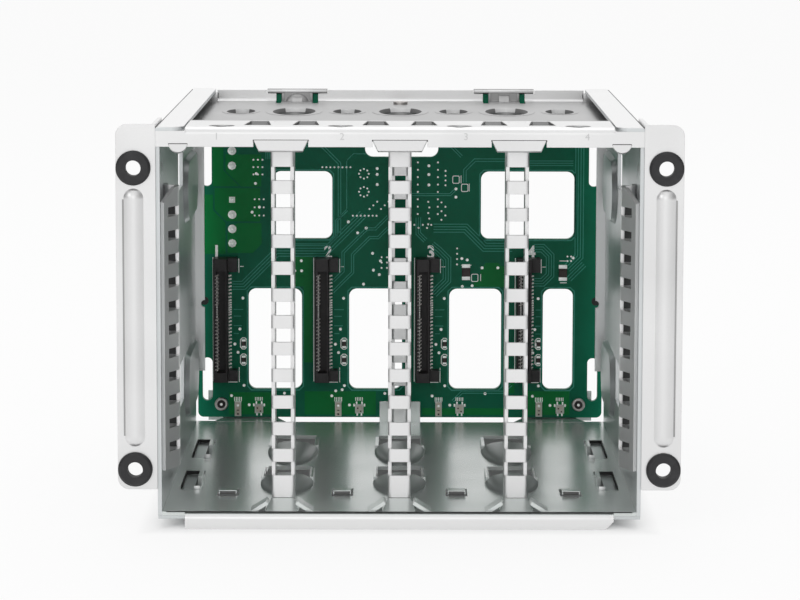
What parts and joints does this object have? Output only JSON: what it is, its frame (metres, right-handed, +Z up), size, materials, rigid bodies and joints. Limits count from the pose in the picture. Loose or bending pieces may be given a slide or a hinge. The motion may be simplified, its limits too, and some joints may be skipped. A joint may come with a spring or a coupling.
{
  "type": "hot swap drive cage",
  "caption": "Sheet metal drive cage with ladder dividers, grommeted mounting ears and a backplane board with drive sockets, held by sprung latches.",
  "frame": {"origin": "middle of the cage's footprint, at the height of the surface that its lips stand on", "axes": "+X to the right seen from the drive side, +Y from the drive side to the backplane, +Z up"},
  "size_m": [0.171, 0.1958, 0.1235],
  "materials": {
    "zinc_steel": "bright zinc plated sheet, satin",
    "rubber": "matte moulded",
    "board_green": "green solder mask, half gloss",
    "black_plastic": "moulded, satin",
    "tinned_contact": "tinned",
    "natural_nylon": "moulded, natural",
    "socket_shell": "nickel plated, satin",
    "light_body": "clear moulded",
    "capacitor_body": "ceramic, satin",
    "screw_steel": "plated, satin"
  },
  "bodies": {
    "cage": {"backplane_board": "board_green", "board_capacitors": "capacitor_body", "board_screws": "screw_steel", "cable_insert_1": "black_plastic", "cable_insert_2": "black_plastic", "cable_socket_1": "socket_shell", "cable_socket_2": "socket_shell", "divider_1": "zinc_steel", "divider_2": "zinc_steel", "divider_3": "zinc_steel", "drive_socket_1": "black_plastic", "drive_socket_2": "black_plastic", "drive_socket_3": "black_plastic", "drive_socket_4": "black_plastic", "floor_pan": "zinc_steel", "header_pins_1": "tinned_contact", "header_pins_2": "tinned_contact", "indicator_lights": "light_body", "left_ear_bracket": "zinc_steel", "left_ear_rivets": "screw_steel", "left_guide_strip": "zinc_steel", "left_lower_grommet": "rubber", "left_side_wall": "zinc_steel", "left_upper_grommet": "rubber", "power_header_1": "natural_nylon", "power_header_2": "natural_nylon", "rear_post": "zinc_steel", "right_ear_bracket": "zinc_steel", "right_ear_rivets": "screw_steel", "right_guide_strip": "zinc_steel", "right_lower_grommet": "rubber", "right_side_wall": "zinc_steel", "right_upper_grommet": "rubber", "roof_screw": "screw_steel", "socket_contacts_1": "tinned_contact", "socket_contacts_2": "tinned_contact", "socket_contacts_3": "tinned_contact", "socket_contacts_4": "tinned_contact", "top_plate": "zinc_steel"},
    "latch_left": {"latch_left": "zinc_steel"},
    "latch_right": {"latch_right": "zinc_steel"}
  },
  "joints": [
    {"name": "latch_left_flex", "type": "hinge", "parent": "cage", "child": "latch_left", "pos_m": [-0.0364, 0.072, 0.1179], "axis": [1, 0, 0], "range_deg": [0, 12], "stiffness_Nm_per_rad": 0.8},
    {"name": "latch_right_flex", "type": "hinge", "parent": "cage", "child": "latch_right", "pos_m": [0.0364, 0.072, 0.1179], "axis": [1, 0, 0], "range_deg": [0, 12], "stiffness_Nm_per_rad": 0.8}
  ]
}
